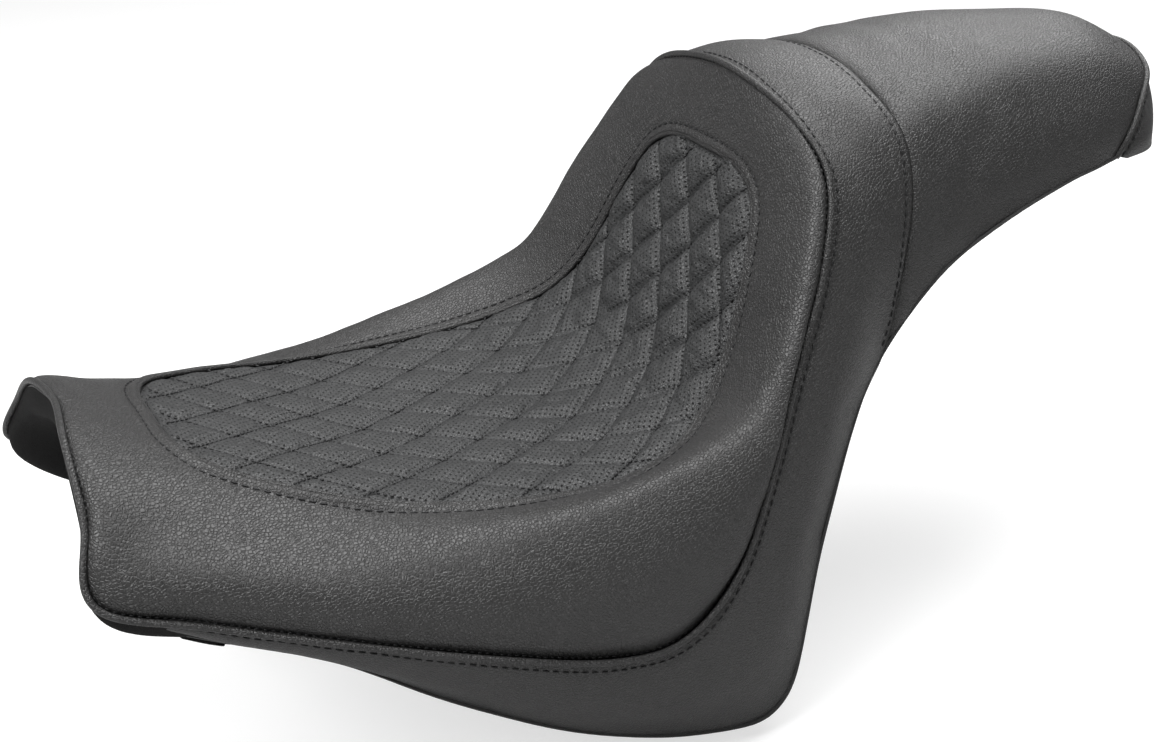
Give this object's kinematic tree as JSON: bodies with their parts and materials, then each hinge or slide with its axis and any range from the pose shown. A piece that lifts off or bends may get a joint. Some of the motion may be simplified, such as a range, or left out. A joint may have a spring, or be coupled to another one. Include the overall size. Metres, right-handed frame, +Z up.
{
  "type": "motorcycle seat",
  "caption": "Two-up motorcycle seat with a quilted, perforated rider dish under a stepped backrest, a narrow raised pillion pad, deep side skirts and a moulded pan.",
  "frame": {"origin": "centre of the rear mounting bolt's hole, halfway through the rear mount tab's foot", "axes": "+Z up, -Y towards the nose (the front of the motorcycle), +Y towards the tail, +X to the rider's left"},
  "size_m": [0.3778, 0.8088, 0.3978],
  "materials": {
    "vinyl_cover": "fine-grained black vinyl, low sheen",
    "piping": "rolled black vinyl welt, low sheen",
    "perforated_vinyl": "perforated, diamond-quilted black vinyl",
    "rubber_trim": "matte black rubber",
    "gel": "soft translucent blue gel",
    "foam": "open-cell moulded foam",
    "pan_plastic": "textured black plastic",
    "felt": "matte black felt",
    "bracket_steel": "satin black coated steel",
    "rivet_steel": "zinc plated",
    "rubber_feet": "matte black rubber",
    "screw_steel": "zinc plated",
    "staple_steel": "bright galvanised wire"
  },
  "bodies": {
    "root": {"rider_cover": "vinyl_cover", "side_band": "vinyl_cover", "nose_fascia": "vinyl_cover", "pillion_cover": "vinyl_cover", "tail_cap": "vinyl_cover", "main_piping": "piping", "inlay_welt": "piping", "tail_piping": "piping", "quilted_inlay": "perforated_vinyl", "left_edge_trim": "rubber_trim", "right_edge_trim": "rubber_trim", "gel_insert": "gel", "backrest_pad": "foam", "rider_foam": "foam", "pillion_foam": "foam", "seat_pan": "pan_plastic", "underside_liner": "felt", "front_tongue": "bracket_steel", "rear_mount_tab": "bracket_steel", "tongue_rivets": "rivet_steel", "rear_tab_rivets": "rivet_steel", "rubber_bumpers": "rubber_feet", "bumper_screws": "screw_steel", "cover_staples": "staple_steel"}
  },
  "joints": []
}
